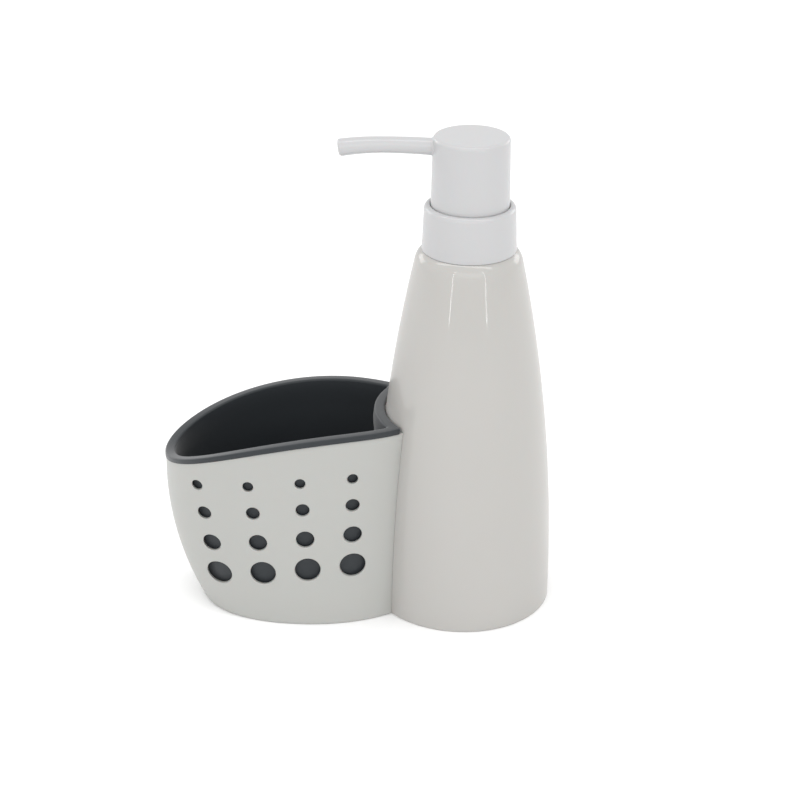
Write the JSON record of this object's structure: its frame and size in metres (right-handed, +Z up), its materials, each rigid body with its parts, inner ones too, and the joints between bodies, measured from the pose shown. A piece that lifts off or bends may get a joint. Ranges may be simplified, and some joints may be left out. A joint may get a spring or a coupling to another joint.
{
  "type": "soap pump caddy",
  "caption": "Soap pump bottle with a perforated sponge caddy hugging its side, a lift-out liner and a press-down swivelling pump head.",
  "frame": {"origin": "pump axis where it meets the surface that the bottle stands on", "axes": "+Z up along the pump axis, -X from the pump axis out along the caddy and the spout, +Y to the caddy's far side"},
  "size_m": [0.1674, 0.077, 0.21],
  "materials": {
    "bottle_gloss": "glossy moulded plastic, warm off-white",
    "shell_satin": "satin moulded plastic, off-white",
    "liner_rubber": "soft matte moulding, slate grey",
    "pump_white": "satin-gloss moulded plastic, cool white",
    "engine_plastic": "natural moulded polypropylene",
    "seal_soft": "soft sealing ring",
    "spring_steel": "bright drawn wire",
    "ball_glass": "clear glass ball",
    "tube_clear": "milky extruded tube"
  },
  "bodies": {
    "holder": {"bottle": "bottle_gloss", "bottle_base": "bottle_gloss", "caddy_shell": "shell_satin"},
    "liner": {"caddy_liner": "liner_rubber"},
    "pump": {"neck_gasket": "seal_soft", "pump_housing": "engine_plastic", "housing_cap": "engine_plastic", "ball_cage": "engine_plastic", "dip_tube": "tube_clear", "return_spring": "spring_steel"},
    "closure": {"collar_sleeve": "pump_white", "screw_cap": "engine_plastic"},
    "piston": {"piston": "seal_soft"},
    "plunger": {"pump_stem": "engine_plastic", "stem_plug": "engine_plastic", "pump_head": "pump_white", "head_insert": "engine_plastic"},
    "ball": {"inlet_ball": "ball_glass"}
  },
  "joints": [
    {"name": "liner_lift", "type": "slide", "parent": "holder", "child": "liner", "axis": [0, 0, 1], "range_m": [0, 0.09]},
    {"name": "pump_lift", "type": "slide", "parent": "holder", "child": "pump", "axis": [0, 0, 1], "range_m": [0, 0.175]},
    {"name": "closure_turn", "type": "hinge", "parent": "pump", "child": "closure", "pos_m": [0, 0, 0.172], "axis": [0, 0, 1], "range_deg": [0, 540]},
    {"name": "pump_press", "type": "slide", "parent": "pump", "child": "piston", "axis": [0, 0, -1], "range_m": [0, 0.012], "stiffness_N_per_m": 600, "springref_m": -0.006, "deforming": ["return_spring"]},
    {"name": "head_swivel", "type": "hinge", "parent": "piston", "child": "plunger", "pos_m": [0, 0, 0.19], "axis": [0, 0, 1], "continuous": true},
    {"name": "ball_lift", "type": "slide", "parent": "pump", "child": "ball", "axis": [0, 0, 1], "range_m": [0, 0.0015]}
  ]
}
